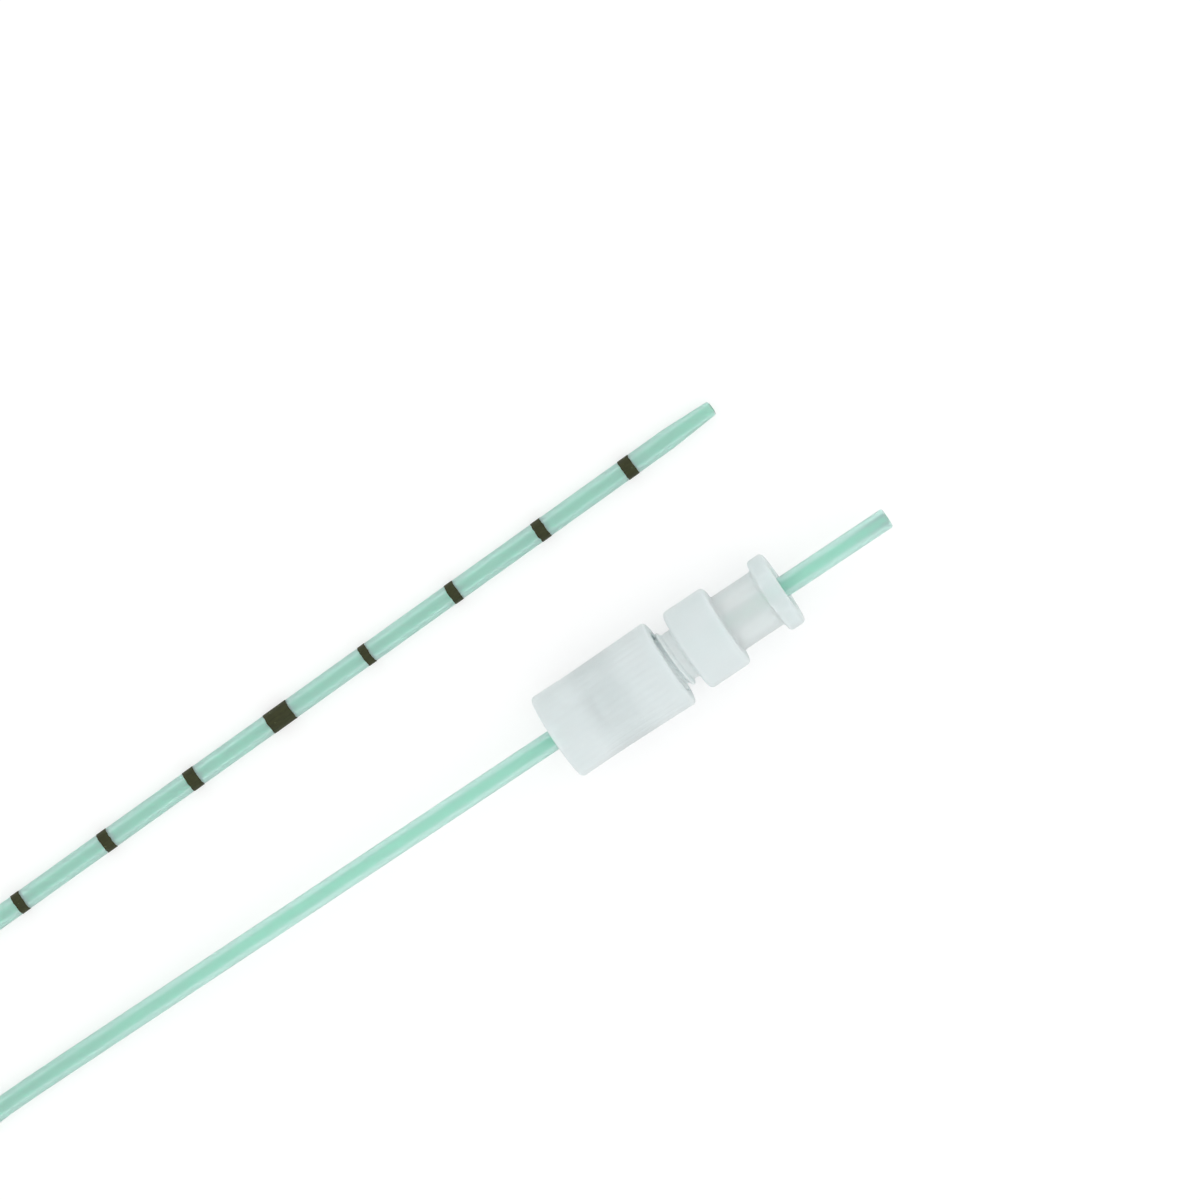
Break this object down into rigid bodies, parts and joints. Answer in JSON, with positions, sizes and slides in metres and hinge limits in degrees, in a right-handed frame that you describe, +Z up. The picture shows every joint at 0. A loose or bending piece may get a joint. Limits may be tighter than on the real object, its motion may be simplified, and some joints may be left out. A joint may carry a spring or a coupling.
{
  "type": "ureteral catheter",
  "caption": "Long thin hollow catheter tube with centimetre marks and a tapered open tip, and a clear screw-on compression connector with a female luer lock near its other end.",
  "frame": {"origin": "on the table under the middle of the connector, between the cap's closed end and the luer mouth", "axes": "+X along the connector's axis towards the luer mouth and the tube's free stub, +Z up, +Y towards the distal stretch"},
  "size_m": [0.1412, 0.0316, 0.0089],
  "materials": {
    "catheter_tube": "translucent green polyurethane, satin",
    "mark_ink": "printed dark olive ink",
    "clear_moulding": "milky translucent moulded plastic, satin",
    "silicone": "translucent silicone"
  },
  "bodies": {
    "catheter": {"shaft_proximal": "catheter_tube", "shaft_coil": "catheter_tube", "shaft_distal": "catheter_tube", "depth_marks": "mark_ink"},
    "connector": {"connector_body": "clear_moulding"},
    "seal": {"seal": "silicone"},
    "cap": {"screw_cap": "clear_moulding"}
  },
  "joints": [
    {"name": "connector_slide", "type": "slide", "parent": "catheter", "child": "connector", "axis": [1, 0, 0], "range_m": [0, 0.038]},
    {"name": "seal_feed", "type": "slide", "parent": "connector", "child": "seal", "axis": [1, 0, 0], "range_m": [-0.0064, 0.0016]},
    {"name": "cap_turn", "type": "hinge", "parent": "seal", "child": "cap", "pos_m": [0, 0, 0.00447], "axis": [1, 0, 0], "range_deg": [-2890, 725]}
  ],
  "couplings": [
    {"joint": "cap_turn", "follows": "seal_feed", "rad_per_m": 7854}
  ]
}
